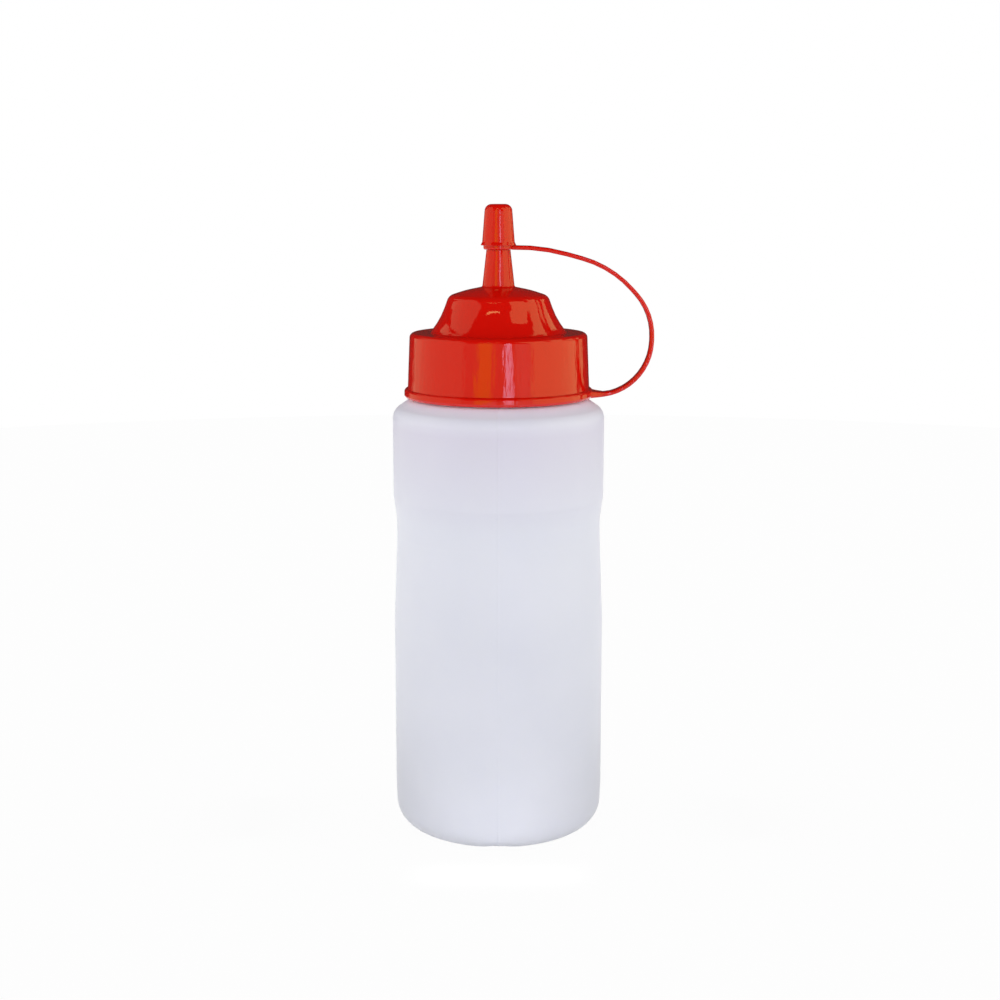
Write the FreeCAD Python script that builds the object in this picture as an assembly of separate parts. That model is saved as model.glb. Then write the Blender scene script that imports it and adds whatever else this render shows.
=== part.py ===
import FreeCAD, Part
import math
import os

# A squeeze bottle for sauces, in two pieces: a blow-moulded polyethylene bottle, and a moulded
# closure whose skirt, bell, cone nozzle, strap and tip cap are all one piece. Millimetres, +Z up.
# The origin is on the bottle's axis, in the plane that it stands on. The strap leaves the closure
# at +X and lies in the plane Y = 0. The mould's parting plane is X = 0, so its lines face -Y and +Y.

# Body of the bottle
BODY_R = 35.0
BODY_WALL = 1.0
SHOULDER_Z = 146.15
SHOULDER_ROUND = 4.6  # where the side turns into the shoulder's slope
SHOULDER_RUN = 6.33  # how far in the slope runs
SHOULDER_RISE = 4.32
SHOULDER_TOP_ROUND = 3.5  # where the slope turns into the flat round the neck
BASE_ROUND = 8.5
BASE_TAPER = 0.6  # how far the side draws in towards the base
BASE_TAPER_RISE = 14.0
BASE_TAPER_ROUND = 40.0
RING_WIDTH = 3.5  # flat ring that the bottle stands on
RING_ROUND = 1.6
PUSH_UP = 2.4  # rise of the base inside that ring
PUSH_UP_RUN = 5.0  # width of the slope up to it
PUSH_UP_ROUND = 3.0

# Shallow waist for the fingers: a long taper up to its deepest place, and a short step back out.
# Its heights are measured down from the shoulder.
WAIST_DEPTH = 1.34
WAIST_TOP_DROP = 32.75
WAIST_DEEP_DROP = 39.65
WAIST_BOTTOM_DROP = 74.45
WAIST_TOP_ROUND = 4.3
WAIST_DEEP_ROUND = 50.0
WAIST_BOTTOM_ROUND = 41.0

# Notches that keep the moulding seam off the table, at the front and the back of the base
NOTCH_R = 24.0  # curvature across a notch
NOTCH_TILT = 12.0  # degrees, rising outwards
NOTCH_KEEP = 1.2  # flat ring left whole inside the notches

# Neck
NECK_R = 26.4
NECK_WALL = 1.5
NECK_HEIGHT = 20.0
NECK_FOOT_ROUND = 0.8

# Thread: one ridge on the neck, and one like it in the skirt that runs half a pitch lower
THREAD_PITCH = 4.2
THREAD_TURNS = 1.5
THREAD_DEPTH = 1.0
THREAD_ROOT = 1.7
THREAD_CREST = 0.9
THREAD_BITE = 0.4  # how far a ridge's root reaches into its wall
THREAD_DROP = 14.0  # from the rim of the neck down to the ridge's lower end

# Skirt and deck of the closure
CLOSURE_WALL = 1.4
SKIRT_FIT = 0.4  # room between the neck's thread and the skirt, at the top
SKIRT_GAP = 0.15  # from the shoulder up to the skirt
SKIRT_DRAFT = 0.9  # how much wider the skirt is at its bottom
DECK_ROUND = 1.6
FLANGE_WIDTH = 1.0  # how far it stands out of the skirt
FLANGE_HEIGHT = 2.95
FLANGE_TOP_ROUND = 1.2
FLANGE_BOTTOM_ROUND = 0.9

# Bell between the deck and the nozzle. It narrows from a foot that stands inside the neck's mouth.
BELL_FOOT_INSET = 2.4
BELL_FOOT_ROUND = 0.6
BELL_BEND_IN = 3.35
BELL_BEND_RISE = 4.15
BELL_BEND_ROUND = 21.0
BELL_TOP_IN = 6.2
BELL_TOP_RISE = 12.0
BELL_TOP_ROUND = 3.0
BELL_CROWN_IN = 11.6  # the roof is a little fuller here than a straight cone
BELL_CROWN_RISE = 13.8
BELL_CROWN_ROUND = 30.0
BELL_ROOF_LEFT = 5.0  # least roof between the crown and the nozzle, where the neck is narrow

# Cone nozzle
NOZZLE_FOOT_R = 5.3
NOZZLE_FOOT_RISE = 14.95
NOZZLE_FOOT_ROUND = 0.75
NOZZLE_TIP_R = 2.4768
NOZZLE_LENGTH = 24.7

# Tip cap, a thimble with a ring at its mouth
TIP_FIT = 0.1  # room around the nozzle
TIP_WALL_TOP = 1.9
TIP_REACH = 12.7  # how far the cap comes down over the nozzle
TIP_RING_R = 4.9
TIP_RING_ROUND = 0.55
TIP_LIP_R = 5.85
TIP_LIP_FLARE = 1.1  # height of the flare above the lip
TIP_NECK_R = 5.3  # thimble just above the flare
TIP_TOP_R = 4.35
TIP_TOP_ROUND = 2.3

# Strap from the flange round to the ring of the tip cap
STRAP_THICKNESS = 1.4
STRAP_WIDTH = 4.4
STRAP_ROUND = 0.5
STRAP_BENDS = [  # distance out of the flange, and share of the strap's rise
    (8.65, 0.0),
    (19.0, 0.21),
    (19.7, 0.555),
    (6.1, 0.87),
    (-17.5, 1.005),
]
BEND_SHARE = 0.499  # how much of the shorter run beside it each bend takes up
WEB_WIDTH = 9.0
WEB_RUN = 4.5  # length over which the web narrows to the strap
WEB_THICKNESS = 2.1  # at the flange

OVERSHOOT = 2.0  # how far a cutting solid runs past what it cuts
TINY = 1e-6  # shorter than any edge

# Places worked out from the sizes above
RIM_Z = SHOULDER_Z + NECK_HEIGHT
MOUTH_R = NECK_R - NECK_WALL
DECK_Z = RIM_Z + CLOSURE_WALL
SKIRT_BOTTOM_Z = SHOULDER_Z + SKIRT_GAP
SKIRT_TOP_R = NECK_R + THREAD_DEPTH + SKIRT_FIT + CLOSURE_WALL
SKIRT_BOTTOM_R = SKIRT_TOP_R + SKIRT_DRAFT
SKIRT_SLOPE = SKIRT_DRAFT / (DECK_Z - SKIRT_BOTTOM_Z)
FLANGE_R = SKIRT_BOTTOM_R + FLANGE_WIDTH
BELL_FOOT_R = MOUTH_R - BELL_FOOT_INSET
NOZZLE_FOOT_Z = DECK_Z + NOZZLE_FOOT_RISE
NOZZLE_TIP_Z = NOZZLE_FOOT_Z + NOZZLE_LENGTH
TIP_BOTTOM_Z = NOZZLE_TIP_Z - TIP_REACH
TIP_TOP_Z = NOZZLE_TIP_Z + TIP_FIT + TIP_WALL_TOP
RING_OUTER_R = BODY_R - BASE_TAPER - BASE_ROUND
RING_INNER_R = RING_OUTER_R - RING_WIDTH


def point(across, height):
    """A point of the X-Z plane, where every outline here is drawn."""
    return FreeCAD.Vector(across, 0, height)


def rounded(corners):
    """The edges of an outline: straight runs from corner to corner, joined by tangent arcs.

    A corner is (across, height, radius). A radius of 0 leaves it sharp.
    """
    places = [point(across, height) for across, height, _ in corners]
    edges = []
    start = places[0]
    for before, corner, after, (_, _, radius) in zip(places, places[1:], places[2:], corners[1:]):
        back = (before - corner).normalize()
        onward = (after - corner).normalize()
        half_turn = (math.pi - back.getAngle(onward)) / 2
        reach = radius * math.tan(half_turn)
        arc_start = corner + back * reach
        if start.distanceToPoint(arc_start) > TINY:
            edges.append(Part.makeLine(start, arc_start))
        start = corner + onward * reach
        if radius > 0:
            inwards = (back + onward).normalize()
            middle = corner + inwards * radius * (1 / math.cos(half_turn) - 1)
            edges.append(Part.Arc(arc_start, middle, start).toShape())
    edges.append(Part.makeLine(start, places[-1]))
    return edges


def shifted(corners, distance):
    """The outline that runs distance to the left of this one. Its arcs keep their centres."""
    places = [point(across, height) for across, height, _ in corners]
    runs = [(b - a).normalize() for a, b in zip(places, places[1:])]
    lefts = [point(-run.z, run.x) for run in runs]
    moved = [places[0] + lefts[0] * distance]
    radii = [0.0]
    for place, (_, _, radius), run, left, next_run, next_left in zip(
        places[1:], corners[1:], runs, lefts, runs[1:], lefts[1:]
    ):
        mitre = (left + next_left).normalize()
        moved.append(place + mitre * distance / mitre.dot(left))
        turns_left = run.x * next_run.z - run.z * next_run.x > 0
        shift = -distance if turns_left else distance
        radii.append(max(radius + shift, 0.0) if radius > 0 else 0.0)
    moved.append(places[-1] + lefts[-1] * distance)
    radii.append(0.0)
    return [(place.x, place.z, radius) for place, radius in zip(moved, radii)]


def eased(places):
    """Corners for a route, each bend rounded as far as the runs beside it allow."""
    corners = [(*places[0], 0.0)]
    last_bend = len(places) - 2
    for i in range(1, last_bend + 1):
        place = point(*places[i])
        back = point(*places[i - 1]) - place
        onward = point(*places[i + 1]) - place
        back_room = back.Length * (2 if i == 1 else 1)
        onward_room = onward.Length * (2 if i == last_bend else 1)
        half_turn = (math.pi - back.getAngle(onward)) / 2
        reach = BEND_SHARE * min(back_room, onward_room)
        corners.append((*places[i], reach / math.tan(half_turn)))
    corners.append((*places[-1], 0.0))
    return corners


def turned(edges):
    """The solid made by turning an outline about the Z axis, closed along that axis."""
    first, last = edges[0].firstVertex().Point, edges[-1].lastVertex().Point
    stops = [last, point(0, last.z), point(0, first.z), first]
    loop = list(edges)
    for a, b in zip(stops, stops[1:]):
        if a.distanceToPoint(b) > TINY:
            loop.append(Part.makeLine(a, b))
    face = Part.Face(Part.Wire(loop))
    return face.revolve(FreeCAD.Vector(0, 0, 0), FreeCAD.Vector(0, 0, 1), 360)


def thread(wall_r, outwards, bottom_z):
    """A helical ridge of trapezoid section on a wall, standing outwards (1) or inwards (-1)."""
    root_r = wall_r - outwards * THREAD_BITE
    crest_r = wall_r + outwards * THREAD_DEPTH
    helix = Part.makeHelix(THREAD_PITCH, THREAD_PITCH * THREAD_TURNS, wall_r)
    helix.translate(point(0, bottom_z))
    section = Part.makePolygon([
        point(root_r, bottom_z - THREAD_ROOT / 2),
        point(crest_r, bottom_z - THREAD_CREST / 2),
        point(crest_r, bottom_z + THREAD_CREST / 2),
        point(root_r, bottom_z + THREAD_ROOT / 2),
        point(root_r, bottom_z - THREAD_ROOT / 2),
    ])
    return Part.Wire(helix).makePipeShell([section], True, True)


def body_corners():
    """Outside of the bottle, from the middle of its base up to the rim of its neck."""
    slope = math.atan2(SHOULDER_RISE, SHOULDER_RUN)
    width = SHOULDER_RUN + SHOULDER_TOP_ROUND * math.tan(slope / 2) + NECK_FOOT_ROUND
    room = min(1.0, (BODY_R - NECK_R) / width)
    return [
        (0.0, PUSH_UP, 0.0),
        (RING_INNER_R - PUSH_UP_RUN, PUSH_UP, PUSH_UP_ROUND),
        (RING_INNER_R, 0.0, RING_ROUND),
        (BODY_R - BASE_TAPER, 0.0, BASE_ROUND),
        (BODY_R, BASE_TAPER_RISE, BASE_TAPER_ROUND),
        (BODY_R, SHOULDER_Z - WAIST_BOTTOM_DROP, WAIST_BOTTOM_ROUND),
        (BODY_R - WAIST_DEPTH, SHOULDER_Z - WAIST_DEEP_DROP, WAIST_DEEP_ROUND),
        (BODY_R, SHOULDER_Z - WAIST_TOP_DROP, WAIST_TOP_ROUND),
        (BODY_R, SHOULDER_Z - SHOULDER_RISE * room, SHOULDER_ROUND * room),
        (BODY_R - SHOULDER_RUN * room, SHOULDER_Z, SHOULDER_TOP_ROUND * room),
        (NECK_R, SHOULDER_Z, NECK_FOOT_ROUND),
        (NECK_R, RIM_Z, 0.0),
    ]


def notches(radius):
    """Two round bars under the front and the back of the base, tilted up and outwards."""
    bars = []
    length = BODY_R
    for side in (-1, 1):
        bar = Part.makeCylinder(radius, length, FreeCAD.Vector(0, 0, -NOTCH_R), FreeCAD.Vector(0, 1, 0))
        bar.rotate(FreeCAD.Vector(0, 0, 0), FreeCAD.Vector(1, 0, 0), NOTCH_TILT)
        bar.translate(FreeCAD.Vector(0, RING_INNER_R + NOTCH_KEEP, 0))
        bar.rotate(FreeCAD.Vector(0, 0, 0), FreeCAD.Vector(0, 0, 1), 90 - 90 * side)
        bars.append(bar)
    return bars


def bottle():
    """Blow-moulded shell: an even wall inside the outer form, a thicker one at the neck."""
    outside = body_corners()
    inside = shifted(outside[:-1], BODY_WALL)[:-1]
    inside.append((MOUTH_R, SHOULDER_Z - BODY_WALL, NECK_FOOT_ROUND + BODY_WALL))
    inside.append((MOUTH_R, RIM_Z + OVERSHOOT, 0.0))
    form = turned(rounded(outside)).cut(notches(NOTCH_R))
    cavity = turned(rounded(inside)).cut(notches(NOTCH_R + BODY_WALL))
    ridge = thread(NECK_R, 1, RIM_Z - THREAD_DROP)
    return form.cut(cavity).fuse(ridge)


def shell_corners():
    """Outside of the closure without its flange, from the skirt's bottom up to the nozzle's tip."""
    room = min(1.0, (BELL_FOOT_R - NOZZLE_FOOT_R) / (BELL_CROWN_IN + BELL_ROOF_LEFT))
    return [
        (SKIRT_BOTTOM_R, SKIRT_BOTTOM_Z, 0.0),
        (SKIRT_TOP_R, DECK_Z, DECK_ROUND),
        (BELL_FOOT_R, DECK_Z, BELL_FOOT_ROUND),
        (BELL_FOOT_R - BELL_BEND_IN * room, DECK_Z + BELL_BEND_RISE, BELL_BEND_ROUND),
        (BELL_FOOT_R - BELL_TOP_IN * room, DECK_Z + BELL_TOP_RISE, BELL_TOP_ROUND),
        (BELL_FOOT_R - BELL_CROWN_IN * room, DECK_Z + BELL_CROWN_RISE, BELL_CROWN_ROUND),
        (NOZZLE_FOOT_R, NOZZLE_FOOT_Z, NOZZLE_FOOT_ROUND),
        (nozzle_r(NOZZLE_TIP_Z), NOZZLE_TIP_Z, 0.0),
    ]


def nozzle_r(height):
    """Outer radius of the cone nozzle at a height."""
    taper = (NOZZLE_FOOT_R - NOZZLE_TIP_R) / NOZZLE_LENGTH
    return NOZZLE_FOOT_R - taper * (height - NOZZLE_FOOT_Z)


def shell():
    """Skirt, deck, bell and bored nozzle, one even wall, open below and at the nozzle's tip."""
    outside = shell_corners()
    inside = shifted(outside, CLOSURE_WALL)
    bottom_r, bottom_z, _ = inside[0]
    inside.insert(0, (bottom_r + SKIRT_SLOPE * OVERSHOOT, bottom_z - OVERSHOOT, 0.0))
    top_r, top_z, _ = inside[-1]
    inside.append((top_r, top_z + OVERSHOOT, 0.0))
    ridge_z = RIM_Z - THREAD_DROP - THREAD_PITCH / 2
    wall_r = SKIRT_TOP_R - CLOSURE_WALL + SKIRT_SLOPE * (DECK_Z - ridge_z)
    ridge = thread(wall_r, -1, ridge_z)
    return turned(rounded(outside)).cut(turned(rounded(inside))).fuse(ridge)


def flange():
    """Rounded ring at the bottom of the skirt, let into the skirt's wall."""
    inner_r = SKIRT_BOTTOM_R - CLOSURE_WALL / 2
    top_z = SKIRT_BOTTOM_Z + FLANGE_HEIGHT
    corners = [
        (inner_r, SKIRT_BOTTOM_Z, 0.0),
        (FLANGE_R, SKIRT_BOTTOM_Z, FLANGE_BOTTOM_ROUND),
        (FLANGE_R, top_z, FLANGE_TOP_ROUND),
        (inner_r, top_z, 0.0),
    ]
    bore = Part.makeCylinder(inner_r, FLANGE_HEIGHT, point(0, SKIRT_BOTTOM_Z))
    return turned(rounded(corners)).cut(bore)


def tip_cap():
    """Thimble over the nozzle's tip. Its bore is the nozzle's own cone, with a small room."""
    ring_top = TIP_BOTTOM_Z + STRAP_THICKNESS
    corners = [
        (0.0, TIP_BOTTOM_Z, 0.0),
        (TIP_RING_R, TIP_BOTTOM_Z, TIP_RING_ROUND),
        (TIP_RING_R, ring_top, 0.0),
        (TIP_LIP_R, ring_top, 0.0),
        (TIP_NECK_R, ring_top + TIP_LIP_FLARE, 0.0),
        (TIP_TOP_R, TIP_TOP_Z, TIP_TOP_ROUND),
        (0.0, TIP_TOP_Z, 0.0),
    ]
    bore_bottom = TIP_BOTTOM_Z - OVERSHOOT
    bore_top = NOZZLE_TIP_Z + TIP_FIT
    bore = Part.makeCone(
        nozzle_r(bore_bottom) + TIP_FIT,
        nozzle_r(bore_top) + TIP_FIT,
        bore_top - bore_bottom,
        point(0, bore_bottom),
    )
    return turned(rounded(corners)).cut(bore)


def strap_route():
    """Middle line of the strap: out of the flange, up, and back over to the tip cap's ring."""
    start_z = SKIRT_BOTTOM_Z + STRAP_THICKNESS / 2
    end_z = TIP_BOTTOM_Z + STRAP_THICKNESS / 2
    skirt_middle_r = SKIRT_BOTTOM_R - CLOSURE_WALL / 2
    ring_middle_r = (TIP_RING_R + nozzle_r(end_z) + TIP_FIT) / 2
    places = [(skirt_middle_r, start_z)]
    for out, share in STRAP_BENDS:
        places.append((FLANGE_R + out, start_z + share * (end_z - start_z)))
    places.append((ring_middle_r, end_z))
    return eased(places)


def strap():
    """Flat strap with rounded edges, swept along its route."""
    route = strap_route()
    start_x, start_z, _ = route[0]
    across, up = STRAP_WIDTH / 2, STRAP_THICKNESS / 2
    stub = STRAP_THICKNESS
    bar = Part.makeBox(stub, STRAP_WIDTH, STRAP_THICKNESS, FreeCAD.Vector(start_x, -across, start_z - up))
    long_edges = [edge for edge in bar.Edges if edge.BoundBox.XLength > stub / 2]
    bar = bar.makeFillet(STRAP_ROUND, long_edges)
    section = next(face.OuterWire for face in bar.Faces if face.BoundBox.XMax < start_x + stub / 2)
    return Part.Wire(rounded(route)).makePipeShell([section], True, False)


def web():
    """Gusset that spreads the strap's root along the flange, and thins out to the strap."""
    start_x, middle_z, _ = strap_route()[0]
    narrow_x = FLANGE_R + WEB_RUN
    wide, narrow = WEB_WIDTH / 2, STRAP_WIDTH / 2
    bottom = middle_z - STRAP_THICKNESS / 2
    outline = Part.makePolygon([
        FreeCAD.Vector(start_x, -wide, bottom),
        FreeCAD.Vector(narrow_x, -narrow, bottom),
        FreeCAD.Vector(narrow_x, narrow, bottom),
        FreeCAD.Vector(start_x, wide, bottom),
        FreeCAD.Vector(start_x, -wide, bottom),
    ])
    wedge = Part.makePolygon([
        FreeCAD.Vector(start_x, -wide, bottom),
        FreeCAD.Vector(narrow_x, -wide, bottom),
        FreeCAD.Vector(narrow_x, -wide, bottom + STRAP_THICKNESS),
        FreeCAD.Vector(FLANGE_R, -wide, bottom + WEB_THICKNESS),
        FreeCAD.Vector(start_x, -wide, bottom + WEB_THICKNESS),
        FreeCAD.Vector(start_x, -wide, bottom),
    ])
    plan = Part.Face(outline).extrude(point(0, WEB_THICKNESS))
    return plan.common(Part.Face(wedge).extrude(FreeCAD.Vector(0, WEB_WIDTH, 0)))


def closure():
    """The closure, one moulding from the flange to the tip cap."""
    return shell().fuse([flange(), web(), strap(), tip_cap()])


def save(shape, node):
    """Writes one piece, and says whether it is the one sound solid that it should be."""
    solids = shape.Solids
    print(node, "solids", len(solids), "valid", shape.isValid(), "volume", round(shape.Volume, 1))
    solids[0].exportStep(f"parts/{node}.step")


os.makedirs("parts", exist_ok=True)
save(bottle(), "bottle")
save(closure(), "closure")
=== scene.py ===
import math

import bpy
import numpy as np
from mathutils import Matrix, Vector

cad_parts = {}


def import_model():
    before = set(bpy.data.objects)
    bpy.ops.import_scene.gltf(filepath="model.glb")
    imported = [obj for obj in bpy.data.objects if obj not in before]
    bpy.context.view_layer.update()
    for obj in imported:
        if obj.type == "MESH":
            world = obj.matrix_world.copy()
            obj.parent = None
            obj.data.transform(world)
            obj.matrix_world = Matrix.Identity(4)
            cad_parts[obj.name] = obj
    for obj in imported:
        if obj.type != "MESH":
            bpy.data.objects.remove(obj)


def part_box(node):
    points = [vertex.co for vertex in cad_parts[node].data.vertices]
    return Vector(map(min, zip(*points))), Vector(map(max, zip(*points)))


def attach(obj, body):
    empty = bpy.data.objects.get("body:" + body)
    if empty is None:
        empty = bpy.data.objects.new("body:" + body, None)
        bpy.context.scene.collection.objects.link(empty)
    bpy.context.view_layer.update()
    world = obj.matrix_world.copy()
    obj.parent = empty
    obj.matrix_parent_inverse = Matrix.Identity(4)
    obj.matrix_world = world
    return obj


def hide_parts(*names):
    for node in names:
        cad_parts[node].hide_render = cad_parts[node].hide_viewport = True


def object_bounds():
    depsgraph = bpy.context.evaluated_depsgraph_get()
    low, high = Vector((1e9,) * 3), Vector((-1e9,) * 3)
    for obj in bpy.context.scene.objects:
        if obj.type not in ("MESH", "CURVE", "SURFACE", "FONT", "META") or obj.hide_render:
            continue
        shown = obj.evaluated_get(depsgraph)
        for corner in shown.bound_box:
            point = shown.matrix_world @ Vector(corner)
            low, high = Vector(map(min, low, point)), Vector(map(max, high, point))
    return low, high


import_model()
cad_low, cad_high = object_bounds()

# A squeeze bottle: a blow-moulded polyethylene shell, and a red closure that is one injection
# moulding from its flange to its tip cap. Sizes are in millimetres, meshes in metres.
MM = 0.001
bottle_low, bottle_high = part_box("bottle")
closure_low, closure_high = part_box("closure")

# Bottle. Its outer radius and its rim come from the frame.
BODY_R = bottle_high.y / MM
RIM_Z = bottle_high.z / MM
BODY_WALL = 1.0
NECK_HEIGHT = 20.0
NECK_WALL = 1.5
NECK_FOOT_ROUND = 0.8
RIM_ROUND = 0.3
SHOULDER_Z = RIM_Z - NECK_HEIGHT
SHOULDER_ROUND = 4.6
SHOULDER_RUN = 6.33
SHOULDER_RISE = 4.32
SHOULDER_TOP_ROUND = 3.5
BASE_ROUND = 8.5
BASE_TAPER = 0.6
BASE_TAPER_RISE = 14.0
BASE_TAPER_ROUND = 40.0
RING_WIDTH = 3.5
RING_ROUND = 1.6
PUSH_UP = 2.4
PUSH_UP_RUN = 5.0
PUSH_UP_ROUND = 3.0
WAIST_DEPTH = 1.34
WAIST_TOP_DROP = 32.75
WAIST_DEEP_DROP = 39.65
WAIST_BOTTOM_DROP = 74.45
WAIST_TOP_ROUND = 4.3
WAIST_DEEP_ROUND = 50.0
WAIST_BOTTOM_ROUND = 41.0
NOTCH_R = 24.0
NOTCH_TILT = math.radians(12.0)
NOTCH_KEEP = 1.2
NOTCH_EDGE = 0.25  # rounding of the notches' edges
SEAM_WIDTH = 0.35  # the parting line is a low ridge, this far across from its middle
SEAM_HEIGHT = 0.07
PINCH_WIDTH = 0.6  # the pinched seam across the base is wider and stands higher
PINCH_HEIGHT = 0.4
PINCH_REACH = 16.0
SEAM_FADE = 2.0  # the parting line ends over this length on the neck, and the pinched seam too
FOOT_FADE = 3.0  # the parting line rises over this width outside the foot ring
NOTCH_FADE = 1.0

# Closure. Its flange, its lower edge and its top come from the frame.
FLANGE_R = closure_high.y / MM
SKIRT_BOTTOM_Z = closure_low.z / MM
TIP_TOP_Z = closure_high.z / MM
CLOSURE_WALL = 1.4
FLANGE_WIDTH = 1.0
FLANGE_HEIGHT = 2.95
FLANGE_TOP_ROUND = 0.98
FLANGE_BOTTOM_ROUND = 0.9
SKIRT_DRAFT = 0.9
SKIRT_FIT = 0.4
DECK_ROUND = 1.6
CREASE = 0.12  # smallest round that a moulding tool leaves
THREAD_PITCH = 4.2
THREAD_TURNS = 1.5
THREAD_DEPTH = 1.0
THREAD_ROOT = 1.7
THREAD_CREST = 0.9
THREAD_BITE = 0.4
THREAD_DROP = 14.0
THREAD_FADE = 0.04  # share of a thread over which each end runs out
SINK_DEPTH = 0.03  # the skirt sinks this much where the thread behind it makes it thick
SINK_WIDTH = 0.7
SINK_CLEAR = 0.3  # the skirt does not sink this close to its flange
BELL_FOOT_INSET = 2.4
BELL_FOOT_ROUND = 0.6
BELL_BEND_IN = 3.35
BELL_BEND_RISE = 4.15
BELL_BEND_ROUND = 26.0
BELL_TOP_IN = 6.2
BELL_TOP_RISE = 12.0
BELL_TOP_ROUND = 3.0
BELL_CROWN_IN = 11.6
BELL_CROWN_RISE = 13.8
BELL_CROWN_ROUND = 30.0
NOZZLE_FOOT_R = 5.3
NOZZLE_FOOT_RISE = 14.95
NOZZLE_FOOT_ROUND = 0.75
NOZZLE_TIP_R = 2.4768
NOZZLE_LENGTH = 24.7
TIP_FIT = 0.1
TIP_REACH = 12.7
TIP_RING_R = 4.9
TIP_RING_ROUND = 0.55
TIP_LIP_R = 5.85
TIP_LIP_FLARE = 1.1
TIP_NECK_R = 5.3
TIP_TOP_R = 4.35
TIP_TOP_ROUND = 2.3
STRAP_THICKNESS = 1.4
STRAP_WIDTH = 4.4
STRAP_ROUND = 0.5
STRAP_BENDS = [  # distance out of the flange, and share of the strap's rise
    (8.65, 0.0),
    (19.0, 0.21),
    (19.7, 0.555),
    (6.1, 0.87),
    (-17.5, 1.005),
]
BEND_SHARE = 0.499
WEB_WIDTH = 9.0
WEB_RUN = 4.5
WEB_THICKNESS = 2.1
WEB_CURVE = 1.6  # above 1, the web's edges curve out towards the flange

SKIRT_BOTTOM_R = FLANGE_R - FLANGE_WIDTH
SKIRT_TOP_R = SKIRT_BOTTOM_R - SKIRT_DRAFT
NECK_R = SKIRT_TOP_R - CLOSURE_WALL - SKIRT_FIT - THREAD_DEPTH
MOUTH_R = NECK_R - NECK_WALL
DECK_Z = RIM_Z + CLOSURE_WALL
SKIRT_SLOPE = SKIRT_DRAFT / (DECK_Z - SKIRT_BOTTOM_Z)
BELL_FOOT_R = MOUTH_R - BELL_FOOT_INSET
NOZZLE_FOOT_Z = DECK_Z + NOZZLE_FOOT_RISE
NOZZLE_TIP_Z = NOZZLE_FOOT_Z + NOZZLE_LENGTH
NOZZLE_TAPER = (NOZZLE_FOOT_R - NOZZLE_TIP_R) / NOZZLE_LENGTH
TIP_BOTTOM_Z = NOZZLE_TIP_Z - TIP_REACH
RING_OUTER_R = BODY_R - BASE_TAPER - BASE_ROUND
RING_INNER_R = RING_OUTER_R - RING_WIDTH

# How finely the surfaces are drawn
EDGE = 0.12  # extra points this close to both ends of a straight run keep its shading flat
ARC_STEP = math.radians(7.5)
THREAD_STEPS = 96  # a turn
SHELL_COLUMNS = 180
CAP_COLUMNS = 120
TINY = 1e-6


# ------------------------------------------------------------------ outlines


def run(start, end, step):
    """Points from start to end, evenly spaced, with one more close to each end."""
    length = np.linalg.norm(end - start)
    if length < TINY:
        return start[None]
    even = np.linspace(0, 1, max(2, math.ceil(length / step) + 1))
    edge = min(EDGE / length, 0.25)
    shares = np.unique(np.r_[even, edge, 1 - edge])
    return start + (end - start) * shares[:, None]


def arc(start, end, centre):
    """Points inside the shorter arc from start to end: centre + turned (start - centre)."""
    first, last = start - centre, end - centre
    turn = math.atan2(first[0] * last[1] - first[1] * last[0], first @ last)
    angles = np.linspace(0, turn, max(2, math.ceil(abs(turn) / ARC_STEP)) + 1)[1:-1]
    across = first[0] * np.cos(angles) - first[1] * np.sin(angles)
    up = first[0] * np.sin(angles) + first[1] * np.cos(angles)
    return centre + np.stack([across, up], axis=1)


def rounded(corners, step):
    """Points along an outline: straight runs from corner to corner, joined by tangent arcs.

    A corner is (across, height, radius). The arc touches both runs at radius * tan(turn / 2) from
    the corner, and its centre lies radius / cos(turn / 2) from it, on the line that halves it.
    """
    places = np.array([corner[:2] for corner in corners], float)
    parts = []
    start = places[0]
    for before, corner, after, (_, _, radius) in zip(places, places[1:], places[2:], corners[1:]):
        back = (before - corner) / np.linalg.norm(before - corner)
        onward = (after - corner) / np.linalg.norm(after - corner)
        half_turn = (math.pi - math.acos(np.clip(back @ onward, -1, 1))) / 2
        reach = radius * math.tan(half_turn)
        arc_start, arc_end = corner + back * reach, corner + onward * reach
        parts.append(run(start, arc_start, step))
        if radius > 0:
            inwards = (back + onward) / np.linalg.norm(back + onward)
            parts.append(arc(arc_start, arc_end, corner + inwards * radius / math.cos(half_turn)))
        start = arc_end
    parts.append(run(start, places[-1], step))
    points = np.concatenate(parts)
    apart = np.linalg.norm(np.diff(points, axis=0), axis=1) > TINY
    return points[np.r_[True, apart]]


def directions(points):
    """Unit directions along an outline whose points are unevenly spaced, by central differences."""
    steps = np.linalg.norm(np.diff(points, axis=0), axis=1)
    along = np.gradient(points, np.r_[0, np.cumsum(steps)], axis=0)
    return along / np.linalg.norm(along, axis=1)[:, None]


def parallel(corners, distance):
    """The outline that runs distance to the left of this one. Its arcs keep their centres."""
    places = np.array([corner[:2] for corner in corners], float)
    runs = np.diff(places, axis=0)
    runs /= np.linalg.norm(runs, axis=1)[:, None]
    lefts = np.stack([-runs[:, 1], runs[:, 0]], axis=1)
    mitres = lefts[:-1] + lefts[1:]
    mitres /= np.sum(mitres * lefts[:-1], axis=1)[:, None]
    moved = places + distance * np.concatenate([lefts[:1], mitres, lefts[-1:]])
    turns = runs[:-1, 0] * runs[1:, 1] - runs[:-1, 1] * runs[1:, 0]
    shifts = np.where(turns > 0, -distance, distance)
    radii = [0.0, *(max(r + s, CREASE) for (_, _, r), s in zip(corners[1:], shifts)), 0.0]
    return [(*place, radius) for place, radius in zip(moved, radii)]


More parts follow.
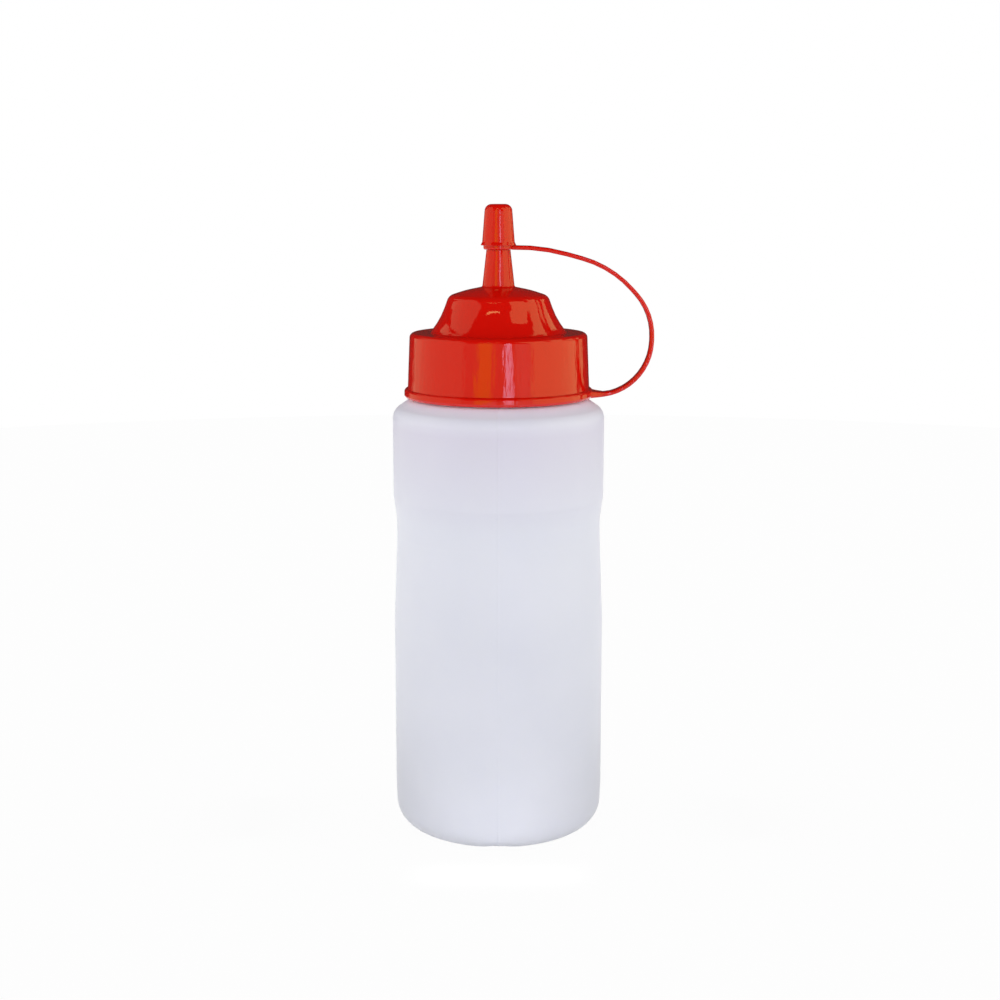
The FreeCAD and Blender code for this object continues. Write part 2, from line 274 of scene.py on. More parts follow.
def eased(places):
    """Corners for a route, each bend rounded as far as the runs beside it allow."""
    corners = [(*places[0], 0.0)]
    last_bend = len(places) - 2
    for i in range(1, last_bend + 1):
        back = np.subtract(places[i - 1], places[i])
        onward = np.subtract(places[i + 1], places[i])
        back_room = np.linalg.norm(back) * (2 if i == 1 else 1)
        onward_room = np.linalg.norm(onward) * (2 if i == last_bend else 1)
        cosine = back @ onward / np.linalg.norm(back) / np.linalg.norm(onward)
        half_turn = (math.pi - math.acos(cosine)) / 2
        reach = BEND_SHARE * min(back_room, onward_room)
        corners.append((*places[i], reach / math.tan(half_turn)))
    corners.append((*places[-1], 0.0))
    return corners


# ------------------------------------------------------------------ surfaces


def turned(outline, angles):
    """Surface of revolution: x = across * cos(angle), y = across * sin(angle), z = height."""
    across, height = outline[:, :1], outline[:, 1:]
    x, y = across * np.cos(angles), across * np.sin(angles)
    return np.stack([x, y, np.broadcast_to(height, x.shape)], axis=-1)


def even_angles(count):
    """Angles of a full turn, without its end."""
    return np.linspace(0, 2 * math.pi, count, endpoint=False)


def closed_loop(width, height, radius, step):
    """Rounded rectangle as a loop of points (side, up), clockwise from the middle of its top."""
    side, up = width / 2, height / 2
    corners = [(0, up, 0), (side, up, radius), (side, -up, radius)]
    corners += [(-side, -up, radius), (-side, up, radius), (0, up, 0)]
    return rounded(corners, step)[:-1]


def piece(name, grid, material, node, closed_rows=False):
    """Makes a mesh of a grid of points in millimetres, its columns closed into rings.

    Rows whose points all meet become one vertex, which closes a pole or the end of a sweep. The
    faces point outwards where columns x rows, as a cross product, does.
    """
    rows, columns = grid.shape[:2]
    index = np.arange(rows * columns).reshape(rows, columns)
    meets = np.ptp(grid, axis=1).max(axis=1) < TINY
    index[meets] = index[meets, :1]
    index = np.c_[index, index[:, :1]]
    if closed_rows:
        index = np.r_[index, index[:1]]
    quads = np.stack([index[:-1, :-1], index[:-1, 1:], index[1:, 1:], index[1:, :-1]], axis=-1)
    quads = quads.reshape(-1, 4)
    starts_at_pole = quads[:, 0] == quads[:, 1]
    ends_at_pole = quads[:, 2] == quads[:, 3]
    whole = quads[~starts_at_pole & ~ends_at_pole]
    fans = np.concatenate([quads[starts_at_pole][:, 1:], quads[ends_at_pole][:, :3]])
    used, renumbered = np.unique(np.r_[whole.ravel(), fans.ravel()], return_inverse=True)
    whole = renumbered[: whole.size].reshape(-1, 4)
    fans = renumbered[whole.size :].reshape(-1, 3)
    mesh = bpy.data.meshes.new(name)
    points = grid.reshape(-1, 3)[used] * MM
    mesh.from_pydata(points.tolist(), [], whole.tolist() + fans.tolist())
    mesh.shade_smooth()
    mesh.materials.append(material)
    made = bpy.data.objects.new(name, mesh)
    bpy.context.scene.collection.objects.link(made)
    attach(made, "root")
    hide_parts(node)
    return made


# ------------------------------------------------------------------ materials


def linear(colour):
    """An sRGB hex colour as linear red, green, blue and alpha."""
    values = np.array([int(colour[i : i + 2], 16) for i in (1, 3, 5)]) / 255
    values = np.where(values <= 0.04045, values / 12.92, ((values + 0.055) / 1.055) ** 2.4)
    return (*values.tolist(), 1.0)


def add(tree, kind, inputs=None, **settings):
    """Adds a node with its settings. Each input is a value, or a socket that is linked to it."""
    made = tree.nodes.new(kind)
    for name, value in settings.items():
        setattr(made, name, value)
    for name, value in (inputs or {}).items():
        if isinstance(value, bpy.types.NodeSocket):
            tree.links.new(value, made.inputs[name])
        else:
            made.inputs[name].default_value = value
    return made


def new_material(name):
    """An empty node material and its tree."""
    material = bpy.data.materials.new(name)
    material.use_nodes = True
    material.node_tree.nodes.clear()
    return material, material.node_tree


def natural_ldpe():
    """Low-density polyethylene without pigment, blow-moulded in a sand-blasted mould.

    The resin is milky, and the blasted mould leaves a satin skin. The colour holds painted shade,
    greyer up to the shoulder where the closure above shades the wall, and painted light, whiter on
    the last few millimetres under the neck where the flange's shadow falls.
    """
    material, tree = new_material("natural_LDPE_blow_moulded")
    place = add(tree, "ShaderNodeTexCoord").outputs["Object"]
    cloud = add(tree, "ShaderNodeTexNoise", {"Vector": place, "Scale": 1 / (26 * MM), "Detail": 2.0})
    tone = add(
        tree,
        "ShaderNodeMix",
        {"Factor": cloud.outputs["Fac"], "A": linear("#DCDEE8"), "B": linear("#E4E5EE")},
        data_type="RGBA",
    )
    height = add(tree, "ShaderNodeSeparateXYZ", {"Vector": place}).outputs["Z"]
    # Painted shade: the wall greys towards the shoulder, where the closure above shades it, with a faint
    # pink from the red closure.
    fades = [
        add(
            tree,
            "ShaderNodeMapRange",
            {"Value": height, "From Min": start * MM, "From Max": end * MM},
        ).outputs[0]
        for start, end in (PAINTED_SHADE_FROM, PAINTED_SHADE_UNTIL)
    ]
    painted_shade_mask = add(tree, "ShaderNodeMath", {0: fades[0], 1: fades[1]}, operation="MINIMUM")
    with_painted_shade = add(
        tree,
        "ShaderNodeMix",
        {"Factor": painted_shade_mask.outputs[0], "A": tone.outputs["Result"], "B": linear("#D5D1DF")},
        data_type="RGBA",
    )
    # Painted light: the wall whitens over the last few millimetres under the neck, which fills in the
    # flange's shadow.
    painted_light_mask = add(
        tree,
        "ShaderNodeMapRange",
        {"Value": height, "From Min": PAINTED_LIGHT_FROM * MM, "From Max": PAINTED_LIGHT_TO * MM},
    )
    with_painted_light = add(
        tree,
        "ShaderNodeMix",
        {"Factor": painted_light_mask.outputs[0], "A": with_painted_shade.outputs["Result"], "B": linear("#EBE8F8")},
        data_type="RGBA",
    )
    grain = add(tree, "ShaderNodeTexNoise", {"Vector": place, "Scale": 1 / (0.7 * MM), "Detail": 1.0})
    sheen = add(
        tree,
        "ShaderNodeMapRange",
        {"Value": cloud.outputs["Fac"], "To Min": 0.38, "To Max": 0.46},
    )
    skin = add(
        tree,
        "ShaderNodeBump",
        {"Height": grain.outputs["Fac"], "Strength": 0.25, "Distance": 0.02 * MM},
    )
    waves = add(
        tree,
        "ShaderNodeBump",
        {
            "Height": cloud.outputs["Fac"],
            "Normal": skin.outputs["Normal"],
            "Strength": 1.0,
            "Distance": 0.25 * MM,
        },
    )
    shader = add(
        tree,
        "ShaderNodeBsdfPrincipled",
        {
            "Base Color": with_painted_light.outputs["Result"],
            "Roughness": sheen.outputs["Result"],
            "Normal": waves.outputs["Normal"],
            "IOR": 1.51,
            "Subsurface Weight": 1.0,
            "Subsurface Radius": (1.0, 1.0, 1.0),
            "Subsurface Scale": 0.5 * MM,
        },
    )
    add(tree, "ShaderNodeOutputMaterial", {"Surface": shader.outputs["BSDF"]})
    return material


def red_pe():
    """Red polyethylene, injection-moulded in a polished tool.

    It is glossy. The gloss has slow waves, and upright streaks that are strongest on the skirt.
    """
    material, tree = new_material("red_PE_injection_moulded")
    place = add(tree, "ShaderNodeTexCoord").outputs["Object"]
    flow = add(tree, "ShaderNodeTexNoise", {"Vector": place, "Scale": 1 / (14 * MM), "Detail": 1.5})
    tall = add(tree, "ShaderNodeMapping", {"Vector": place, "Scale": (1.0, 1.0, 0.15)}).outputs["Vector"]
    streaks = add(
        tree,
        "ShaderNodeTexNoise",
        {"Vector": tall, "Scale": 1 / (2.2 * MM), "Detail": 3.0, "Roughness": 0.55},
    )
    height = add(tree, "ShaderNodeSeparateXYZ", {"Vector": place}).outputs["Z"]
    drag = add(
        tree,
        "ShaderNodeMapRange",
        {
            "Value": height,
            "From Min": (DECK_Z - 2 * DECK_ROUND) * MM,
            "From Max": DECK_Z * MM,
            "To Min": 1.0,
            "To Max": 0.4,
        },
    )
    tone = add(
        tree,
        "ShaderNodeMix",
        {"Factor": flow.outputs["Fac"], "A": linear("#CB0B02"), "B": linear("#D10D03")},
        data_type="RGBA",
    )
    waves = add(
        tree,
        "ShaderNodeBump",
        {"Height": flow.outputs["Fac"], "Strength": 1.0, "Distance": 0.16 * MM},
    )
    drawn = add(
        tree,
        "ShaderNodeBump",
        {
            "Height": streaks.outputs["Fac"],
            "Normal": waves.outputs["Normal"],
            "Strength": drag.outputs[0],
            "Distance": 0.12 * MM,
        },
    )
    shader = add(
        tree,
        "ShaderNodeBsdfPrincipled",
        {
            "Base Color": tone.outputs["Result"],
            "Normal": drawn.outputs["Normal"],
            "Roughness": 0.05,
            "IOR": 1.51,
            "Subsurface Weight": 0.1,
            "Subsurface Radius": (1.0, 0.1, 0.06),
            "Subsurface Scale": 1.0 * MM,
        },
    )
    add(tree, "ShaderNodeOutputMaterial", {"Surface": shader.outputs["BSDF"]})
    return material


# Painted shade of the closure on the upper wall, between these heights.
PAINTED_SHADE_FROM = (SHOULDER_Z - 40, SHOULDER_Z - 4)  # painted shade greys the wall up this stretch
PAINTED_SHADE_UNTIL = (SHOULDER_Z, SHOULDER_Z - 11)  # and the painted shade fades again at the top of this one
# Painted light under the neck, in the flange's shadow, between these heights.
PAINTED_LIGHT_FROM = SHOULDER_Z - 3
PAINTED_LIGHT_TO = SHOULDER_Z - 0.5
LDPE = natural_ldpe()
RED = red_pe()


# ------------------------------------------------------------------ bottle


def body_corners():
    """Outside of the bottle, from the middle of its base up to the foot of its neck."""
    return [
        (0.0, PUSH_UP, 0.0),
        (RING_INNER_R - PUSH_UP_RUN, PUSH_UP, PUSH_UP_ROUND),
        (RING_INNER_R, 0.0, RING_ROUND),
        (BODY_R - BASE_TAPER, 0.0, BASE_ROUND),
        (BODY_R, BASE_TAPER_RISE, BASE_TAPER_ROUND),
        (BODY_R, SHOULDER_Z - WAIST_BOTTOM_DROP, WAIST_BOTTOM_ROUND),
        (BODY_R - WAIST_DEPTH, SHOULDER_Z - WAIST_DEEP_DROP, WAIST_DEEP_ROUND),
        (BODY_R, SHOULDER_Z - WAIST_TOP_DROP, WAIST_TOP_ROUND),
        (BODY_R, SHOULDER_Z - SHOULDER_RISE, SHOULDER_ROUND),
        (BODY_R - SHOULDER_RUN, SHOULDER_Z, SHOULDER_TOP_ROUND),
        (NECK_R, SHOULDER_Z, NECK_FOOT_ROUND),
        (NECK_R, RIM_Z, RIM_ROUND),
    ]


def body_angles():
    """Angles round the bottle, closer together over the notches and closest at the seam."""
    wide = np.radians(np.arange(0, 360, 2.5))
    notch = np.radians(np.arange(-18, 18.5, 1.0))
    steps = np.array([0.12, 0.24, 0.36, 0.48]) / BODY_R
    seam = np.r_[-steps, steps]
    front_and_back = [math.pi / 2, 3 * math.pi / 2]
    angles = np.r_[wide, *(middle + part for middle in front_and_back for part in (notch, seam))]
    return np.unique(np.round(angles % (2 * math.pi), 6))


def over_notches(grid, clearance):
    """Lifts a surface over the notches under the front and the back of the base.

    A notch is a round bar whose top line starts in the standing ring and rises outwards:
    z = (|y| - start) * tan(tilt) - (R - sqrt(R^2 - x^2)) / cos(tilt). The two surfaces are joined
    by the soft maximum (a + b + sqrt((a - b)^2 + edge^2)) / 2.
    """
    x, y, z = np.moveaxis(grid, -1, 0)
    radius = NOTCH_R + clearance
    drop = radius - np.sqrt(np.maximum(radius**2 - x**2, 0))
    out = np.abs(y) - RING_INNER_R - NOTCH_KEEP
    notch = out * math.tan(NOTCH_TILT) - (drop - clearance) / math.cos(NOTCH_TILT)
    soft = (z + notch + np.sqrt((z - notch) ** 2 + NOTCH_EDGE**2)) / 2
    near = np.clip(out / NOTCH_FADE + 1, 0, 1) * (z < 2 * PUSH_UP + clearance)
    lifted = grid.copy()
    lifted[..., 2] = np.where(near > 0, z + (soft - z) * near, z)
    return lifted


def with_seam(grid, outline, angles):
    """Adds the parting line: the surface moves out by height * exp(-(x / width)^2).

    Across the push-up the ridge is the wider, higher one of the pinched end. Outwards is the
    outline's direction turned by a quarter, (rise, -run), and carried round the axis.
    """
    x, y, z = np.moveaxis(grid, -1, 0)
    reach = np.hypot(x, y)
    neck = np.clip((SHOULDER_Z + NECK_HEIGHT / 2 - z) / SEAM_FADE, 0, 1)
    pinched = np.clip((PINCH_REACH - reach) / SEAM_FADE, 0, 1) * (z < 2 * PUSH_UP)
    standing = np.clip((reach - RING_OUTER_R) / FOOT_FADE, 0, 1)
    seam = SEAM_HEIGHT * np.exp(-((x / SEAM_WIDTH) ** 2)) * neck * standing
    pinch = PINCH_HEIGHT * np.exp(-((x / PINCH_WIDTH) ** 4)) * pinched
    along = directions(outline)
    outwards = turned(np.stack([along[:, 1], -along[:, 0]], axis=1), angles)
    return grid + outwards * (seam + pinch)[..., None]


def bottle_wall():
    """The bottle as one closed shell: outside up to the rim, and back down inside."""
    corners = body_corners()
    rim_middle = (NECK_R + MOUTH_R) / 2
    outside = rounded([*corners, (rim_middle, RIM_Z, 0.0)], step=1.5)
    inner = parallel(corners[:-1], BODY_WALL)[:-1]
    inner += [
        (MOUTH_R, SHOULDER_Z - BODY_WALL, NECK_FOOT_ROUND + BODY_WALL),
        (MOUTH_R, RIM_Z, RIM_ROUND),
        (rim_middle, RIM_Z, 0.0),
    ]
    inside = rounded(inner[::-1], step=3.0)
    angles = body_angles()
    outer_grid = with_seam(over_notches(turned(outside, angles), 0.0), outside, angles)
    inner_grid = over_notches(turned(inside, angles), BODY_WALL)
    grid = np.concatenate([outer_grid, inner_grid[1:]])
    return piece("bottle_wall", grid, LDPE, "bottle")


# ------------------------------------------------------------------ threads


def thread_grid(wall_r, outwards, bottom_z):
    """A trapezoid ridge carried along a helix: radius = wall_r + outwards * up, z = rise + side.

    Each end sinks into the wall, and its last row meets in one point.
    """
    shares = np.linspace(0, 1, round(THREAD_TURNS * THREAD_STEPS) + 1)
    fade = np.clip(np.minimum(shares, 1 - shares) / THREAD_FADE, 0, 1)
    height = -THREAD_BITE + (THREAD_DEPTH + THREAD_BITE) * np.sin(fade * math.pi / 2)
    root, crest = THREAD_ROOT / 2, THREAD_CREST / 2
    side = np.array([-root, -crest, crest, root]) * -outwards
    up = np.array([0.0, 1.0, 1.0, 0.0])
    angles = shares * THREAD_TURNS * 2 * math.pi
    across = wall_r + outwards * (-THREAD_BITE + (height + THREAD_BITE)[:, None] * up)
    z = bottom_z + THREAD_PITCH * THREAD_TURNS * shares[:, None] + side
    grid = np.stack([across * np.cos(angles)[:, None], across * np.sin(angles)[:, None], z], axis=-1)
    ends = grid[[0, -1]].mean(axis=1, keepdims=True).repeat(4, axis=1)
    return np.concatenate([ends[:1], grid, ends[1:]])


def neck_thread():
    """The ridge on the bottle's neck."""
    grid = thread_grid(NECK_R, 1, RIM_Z - THREAD_DROP)
    return piece("neck_thread", grid, LDPE, "bottle")


def skirt_thread():
    """The ridge inside the skirt, half a pitch lower."""
    bottom_z = RIM_Z - THREAD_DROP - THREAD_PITCH / 2
    wall_r = SKIRT_TOP_R - CLOSURE_WALL + SKIRT_SLOPE * (DECK_Z - bottom_z)
    grid = thread_grid(wall_r, -1, bottom_z)
    return piece("skirt_thread", grid, RED, "closure")


# ------------------------------------------------------------------ closure


def nozzle_r(height):
    """Outer radius of the cone nozzle at a height."""
    return NOZZLE_FOOT_R - NOZZLE_TAPER * (height - NOZZLE_FOOT_Z)


def shell_corners():
    """Outside of the closure without its flange, from the skirt's bottom up to the nozzle's tip."""
    return [
        (SKIRT_BOTTOM_R, SKIRT_BOTTOM_Z, 0.0),
        (SKIRT_TOP_R, DECK_Z, DECK_ROUND),
        (BELL_FOOT_R, DECK_Z, BELL_FOOT_ROUND),
        (BELL_FOOT_R - BELL_BEND_IN, DECK_Z + BELL_BEND_RISE, BELL_BEND_ROUND),
        (BELL_FOOT_R - BELL_TOP_IN, DECK_Z + BELL_TOP_RISE, BELL_TOP_ROUND),
        (BELL_FOOT_R - BELL_CROWN_IN, DECK_Z + BELL_CROWN_RISE, BELL_CROWN_ROUND),
        (NOZZLE_FOOT_R, NOZZLE_FOOT_Z, NOZZLE_FOOT_ROUND),
        (NOZZLE_TIP_R, NOZZLE_TIP_Z, 0.0),
    ]


def with_sink_marks(grid):
    """Sinks the skirt over the thread behind it: radius - depth * exp(-((z - helix) / width)^2)."""
    x, y, z = np.moveaxis(grid, -1, 0)
    across = np.hypot(x, y)
    turns = (np.arctan2(y, x) / (2 * math.pi)) % 1
    lowest = RIM_Z - THREAD_DROP - THREAD_PITCH / 2
    below_deck = z < DECK_Z - DECK_ROUND
    above_flange = z > SKIRT_BOTTOM_Z + FLANGE_HEIGHT + SINK_CLEAR
    on_skirt = (across > SKIRT_TOP_R - CREASE) & below_deck & above_flange
    sink = np.zeros_like(across)
    for turn in range(math.ceil(THREAD_TURNS)):
        along = turns + turn
        helix = lowest + THREAD_PITCH * along
        sink += np.exp(-(((z - helix) / SINK_WIDTH) ** 2)) * np.clip((THREAD_TURNS - along) * 20, 0, 1)
    share = 1 - on_skirt * sink * SINK_DEPTH / across
    return grid * np.stack([share, share, np.ones_like(share)], axis=-1)


def closure_shell():
    """Flange, skirt, deck, bell and bored nozzle: one outline, closed on itself, turned."""
    shell = shell_corners()
    flange_top = SKIRT_BOTTOM_Z + FLANGE_HEIGHT
    outside = [
        (SKIRT_BOTTOM_R - CLOSURE_WALL / 2, SKIRT_BOTTOM_Z, 0.0),
        (FLANGE_R, SKIRT_BOTTOM_Z, FLANGE_BOTTOM_ROUND),
        (FLANGE_R, flange_top, FLANGE_TOP_ROUND),
        (SKIRT_BOTTOM_R - SKIRT_SLOPE * FLANGE_HEIGHT, flange_top, CREASE),
        *shell[1:-1],
        (*shell[-1][:2], CREASE),
    ]
    inside = parallel(shell, CLOSURE_WALL)
    bore_r, bore_z, _ = inside[-1]
    bottom_r, bottom_z, _ = inside[0]
    loop = [
        *outside,
        (bore_r, NOZZLE_TIP_Z, CREASE),
        *inside[-2:0:-1],
        (bottom_r, SKIRT_BOTTOM_Z, CREASE),
        outside[0],
    ]
    outline = rounded(loop, step=0.5)[:-1]
    grid = with_sink_marks(turned(outline, even_angles(SHELL_COLUMNS)))
    return piece("closure_shell", grid, RED, "closure", closed_rows=True)


def tip_cap():
    """Thimble over the nozzle's tip, with a ring at its mouth and the nozzle's own cone inside."""
    ring_top = TIP_BOTTOM_Z + STRAP_THICKNESS
    bore_top = NOZZLE_TIP_Z + TIP_FIT
    corners = [
        (0.0, bore_top, 0.0),
        (nozzle_r(bore_top) + TIP_FIT, bore_top, CREASE),
        (nozzle_r(TIP_BOTTOM_Z) + TIP_FIT, TIP_BOTTOM_Z, CREASE),
        (TIP_RING_R, TIP_BOTTOM_Z, TIP_RING_ROUND),
        (TIP_RING_R, ring_top, CREASE),
        (TIP_LIP_R, ring_top, CREASE),
        (TIP_NECK_R, ring_top + TIP_LIP_FLARE, 2 * CREASE),
        (TIP_TOP_R, TIP_TOP_Z, TIP_TOP_ROUND),
        (0.0, TIP_TOP_Z, 0.0),
    ]
    outline = rounded(corners, step=0.5)
    grid = turned(outline, even_angles(CAP_COLUMNS))
    return piece("tip_cap", grid, RED, "closure")


def strap_route():
    """Middle line of the strap: out of the flange, up, and back over to the tip cap's ring."""
    start_z = SKIRT_BOTTOM_Z + STRAP_THICKNESS / 2
    end_z = TIP_BOTTOM_Z + STRAP_THICKNESS / 2
    skirt_middle_r = SKIRT_BOTTOM_R - CLOSURE_WALL / 2
    ring_middle_r = (TIP_RING_R + nozzle_r(end_z) + TIP_FIT) / 2
    places = [(skirt_middle_r, start_z)]
    for out, share in STRAP_BENDS:
        places.append((FLANGE_R + out, start_z + share * (end_z - start_z)))
    places.append((ring_middle_r, end_z))
    return rounded(eased(places), step=0.6)


def strap():
    """A flat band swept along its route: place = route + side * Y + up * normal.

    Its root widens and thickens into a web, with the same rounded edges, as it reaches the flange.
    """
    route = strap_route()
    along = directions(route)
    normal = np.stack([-along[:, 1], along[:, 0]], axis=1)
    loop = closed_loop(STRAP_WIDTH, STRAP_THICKNESS, STRAP_ROUND, step=0.6)
    at_root = np.arange(len(route)) < len(route) / 4
    share = np.clip((FLANGE_R + WEB_RUN - route[:, 0]) / WEB_RUN, 0, 1.5) * at_root
    widening = (WEB_WIDTH - STRAP_WIDTH) / 2 * share**WEB_CURVE
    side = loop[:, 0] + np.sign(loop[:, 0]) * np.minimum(np.abs(loop[:, 0]), 1) * widening[:, None]
    thicker = (WEB_THICKNESS - STRAP_THICKNESS) * np.minimum(share, 1)[:, None]
    up = loop[:, 1] + np.where(loop[:, 1] > 0, 1, 0) * thicker
    x = route[:, :1] + normal[:, :1] * up
    z = route[:, 1:] + normal[:, 1:] * up
    grid = np.stack([x, -side, z], axis=-1)
    ends = grid[[0, -1]].mean(axis=1, keepdims=True).repeat(len(loop), axis=1)
    grid = np.concatenate([ends[:1], grid, ends[1:]])
    return piece("strap", grid, RED, "closure")


bottle_wall()
neck_thread()
closure_shell()
skirt_thread()
tip_cap()
strap()


# ------------------------------------------------------------------ stage, light and camera

CARDS = {  # colour and strength of each lit card, and its corners as (azimuth, elevation) in degrees
    "left_silk": (
        "#E6E6B8",
        0.85,
        [
            (-43, -12), (-43, 33), (-53, 39), (-62, 47), (-79, 54), (-93, 52), (-104, 43), (-116, 34),
            (-116, 28), (-119, 20), (-127, 13), (-138, 8), (-138, -12),
        ],
    ),
    "left_reflector": (
        "#E6E6B8",
        0.85,
        [
            (-95, 55), (-98, 51), (-113, 41), (-119, 33), (-128, 25), (-138, 24), (-128, 34), (-118, 41),
            (-109, 47),
        ],
    ),
    "right_silk": (
        "#FFFFB0",
        1.3,
        [
            (41, -12), (116, -12), (117, 8), (104, 16), (97, 22), (97, 26), (102, 32), (109, 38),
            (118, 41), (103, 49), (90, 57), (90, 50), (85, 41), (74, 32), (71, 34), (72, 45), (61, 48),
            (48, 50), (34, 52), (27, 41), (32, 34), (41, 27),
        ],
    ),
    "right_reflector": (
        "#FFFFB0",
        1.1,
        [(101, 23), (102, 28), (108, 32), (121, 33), (138, 23), (133, 19), (124, 15), (108, 17)],
    ),
    "right_far_strip": ("#FFFFB0", 0.8, [(124, -12), (136, -12), (136, 8), (124, 8)]),
    "strip_lamp": ("#DDE2FF", 4.5, [(9, -12), (17, -12), (17, 25), (9, 25)]),
    "warm_wall": ("#FFFF60", 1.1, [(-27, -12), (-8, -12), (-8, 25), (-27, 25)]),
    "warm_lamp": (
        "#FFF8A0",
        5.0,
        [
            (-31, 42), (-22, 39.2), (-13, 38.2), (-4, 39.2), (4, 42.5), (-4, 41.2), (-13, 40.6),
            (-22, 41.4),
        ],
    ),
    "front_wall": ("#FFFFD0", 0.45, [(-42, -12), (22, -12), (22, 12), (-42, 12)]),
    "front_right_wall": ("#FFFFDC", 0.8, [(22, -12), (40, -12), (40, 12), (22, 12)]),
}
CARD_DISTANCE = 1.6  # this and what follows is in metres
CARD_STEP = 0.02  # each card stands this much further back than the one before
ROOM_R = 4.0
TABLE_R = 1.1
FLAG_X = 0.085
FLAG_WIDTH = 0.04
FLAG_HEIGHT = 0.035
TABLE_GLOW = 0.96  # share of plain white in the table; what is left takes the shadow
HORIZON_LIGHT = 2.05
ZENITH_LIGHT = 0.05


def backdrop_share(tree):
    """1 for the rays that show the background: camera, glossy and transmission rays."""
    path = add(tree, "ShaderNodeLightPath").outputs
    seen = path["Is Camera Ray"]
    for ray in ("Is Glossy Ray", "Is Transmission Ray"):
        seen = add(tree, "ShaderNodeMath", {0: seen, 1: path[ray]}, operation="MAXIMUM").outputs[0]
    return seen


def floor():
    """A white table, round, with the object's shadow."""
    material, tree = new_material("white_laminate")
    paper = add(tree, "ShaderNodeBsdfDiffuse", {"Color": linear("#F0F0F0")})
    glow = add(tree, "ShaderNodeEmission", {"Color": linear("#FFFFFF"), "Strength": 1.0})
    share = add(tree, "ShaderNodeMath", {0: backdrop_share(tree), 1: TABLE_GLOW}, operation="MULTIPLY")
    mixed = add(
        tree,
        "ShaderNodeMixShader",
        {0: share.outputs[0], 1: paper.outputs[0], 2: glow.outputs[0]},
    )
    add(tree, "ShaderNodeOutputMaterial", {"Surface": mixed.outputs[0]})
    place = (0, 0, cad_low.z)
    bpy.ops.mesh.primitive_circle_add(vertices=96, radius=TABLE_R, fill_type="NGON", location=place)
    table = bpy.context.object
    table.name = "floor"
    table.data.materials.append(material)


def seen_in_gloss_alone(thing, name, colour, strength):
    """Gives a stage piece an even glow that lights nothing: the gloss alone mirrors it."""
    material, tree = new_material(name)
    glow = add(tree, "ShaderNodeEmission", {"Color": linear(colour), "Strength": strength})
    add(tree, "ShaderNodeOutputMaterial", {"Surface": glow.outputs[0]})
    thing.name = name
    thing.data.materials.append(material)
    thing.visible_camera = False
    thing.visible_diffuse = False
    thing.visible_transmission = False
    thing.visible_shadow = False


def dark_room():
    """The dim room behind the lit cards, as a big dome."""
    bpy.ops.mesh.primitive_uv_sphere_add(segments=64, ring_count=32, radius=ROOM_R)
    seen_in_gloss_alone(bpy.context.object, "dark_room", "#FFF4E6", 0.035)


def lit_card(name, colour, strength, corners, distance):
    """A flat upright card that faces the closure, square to its own middle azimuth.

    Azimuth 0 is the front, and 90 the object's +X side. In the card's plane a corner lies
    distance * tan(azimuth - middle) across and distance * tan(elevation) / cos(azimuth - middle) up.
    """
    azimuth, elevation = np.radians(np.array(corners, float)).T
    middle = (azimuth.min() + azimuth.max()) / 2
    across = distance * np.tan(azimuth - middle)
    up = distance * np.tan(elevation) / np.cos(azimuth - middle)
    facing = np.array([math.sin(middle), -math.cos(middle)])
    sideways = np.array([math.cos(middle), math.sin(middle)])
    flat = distance * facing + across[:, None] * sideways
    points = np.c_[flat, up + closure_low.z]
    mesh = bpy.data.meshes.new(name)
    mesh.from_pydata(points.tolist(), [], [list(range(len(points)))])
    card = bpy.data.objects.new(name, mesh)
    bpy.context.scene.collection.objects.link(card)
    seen_in_gloss_alone(card, name, colour, strength)


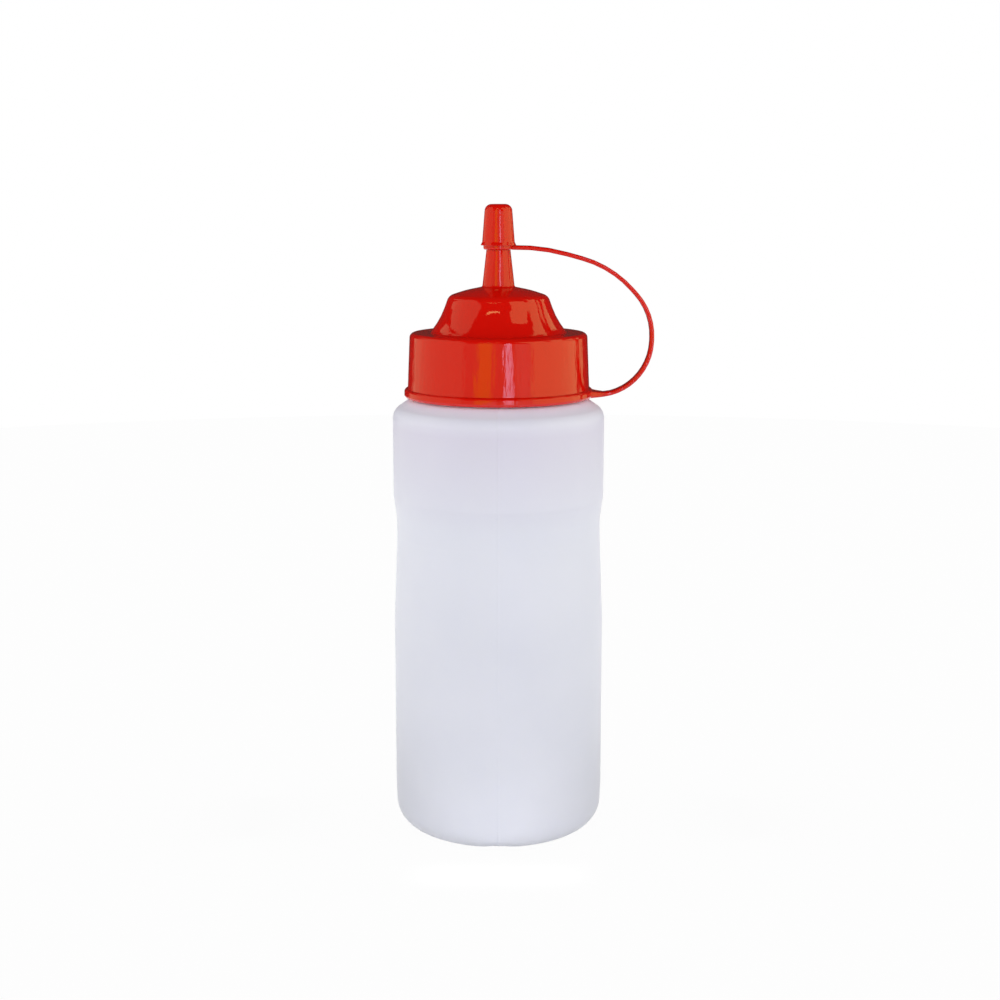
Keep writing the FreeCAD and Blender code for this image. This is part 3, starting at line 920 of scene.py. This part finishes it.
def world():
    """White behind the object. Its light is strongest at the horizon and fades to the zenith."""
    scene_world = bpy.data.worlds.new("white_room")
    bpy.context.scene.world = scene_world
    scene_world.use_nodes = True
    tree = scene_world.node_tree
    tree.nodes.clear()
    direction = add(tree, "ShaderNodeTexCoord").outputs["Generated"]
    up = add(tree, "ShaderNodeSeparateXYZ", {"Vector": direction}).outputs["Z"]
    lighting = add(
        tree,
        "ShaderNodeMapRange",
        {"Value": up, "To Min": HORIZON_LIGHT, "To Max": ZENITH_LIGHT},
    )
    strength = add(
        tree,
        "ShaderNodeMix",
        {"Factor": backdrop_share(tree), "A": lighting.outputs["Result"], "B": 1.0},
        data_type="FLOAT",
    )
    light = add(
        tree,
        "ShaderNodeBackground",
        {"Color": linear("#FFFFFF"), "Strength": strength.outputs["Result"]},
    )
    add(tree, "ShaderNodeOutputWorld", {"Surface": light.outputs[0]})


def table_light():
    """A small soft lamp low over the table. The table throws its light up at the front of the base."""
    lamp = bpy.data.lights.new("table_light", "AREA")
    lamp.shape = "RECTANGLE"
    lamp.size = 0.05
    lamp.size_y = 0.012
    lamp.energy = 0.0025
    lamp.spread = math.radians(40)
    made = bpy.data.objects.new("table_light", lamp)
    bpy.context.scene.collection.objects.link(made)
    made.location = (0, -0.052, 0.03)
    made.visible_camera = False
    made.visible_glossy = False


def side_flags():
    """A low black card on either side, which shades the lower half of the bottle's sides."""
    material, tree = new_material("black_card")
    black = add(tree, "ShaderNodeBsdfDiffuse", {"Color": linear("#202020")})
    add(tree, "ShaderNodeOutputMaterial", {"Surface": black.outputs[0]})
    for side in (-1, 1):
        x, half, top = side * FLAG_X, FLAG_WIDTH / 2, FLAG_HEIGHT
        mesh = bpy.data.meshes.new("side_flag")
        corners = [(x, -half, 0.0), (x, half, 0.0), (x, half, top), (x, -half, top)]
        mesh.from_pydata(corners, [], [[0, 1, 2, 3]])
        mesh.materials.append(material)
        flag = bpy.data.objects.new("side_flag", mesh)
        bpy.context.scene.collection.objects.link(flag)
        flag.visible_camera = False
        flag.visible_glossy = False


def camera():
    """A camera a little above the object, tilted down to it."""
    lens = bpy.data.cameras.new("camera")
    lens.lens = 63.0
    lens.sensor_width = 36.0
    made = bpy.data.objects.new("camera", lens)
    bpy.context.scene.collection.objects.link(made)
    made.location = (0.0005, -0.5766, 0.2141)
    made.rotation_euler = (math.radians(90 - 10.09), 0, 0)
    bpy.context.scene.camera = made


floor()
dark_room()
for step, (name, (colour, strength, corners)) in enumerate(CARDS.items()):
    lit_card(name, colour, strength, corners, CARD_DISTANCE + CARD_STEP * step)
world()
table_light()
side_flags()
camera()
bpy.context.scene.view_settings.view_transform = "Standard"
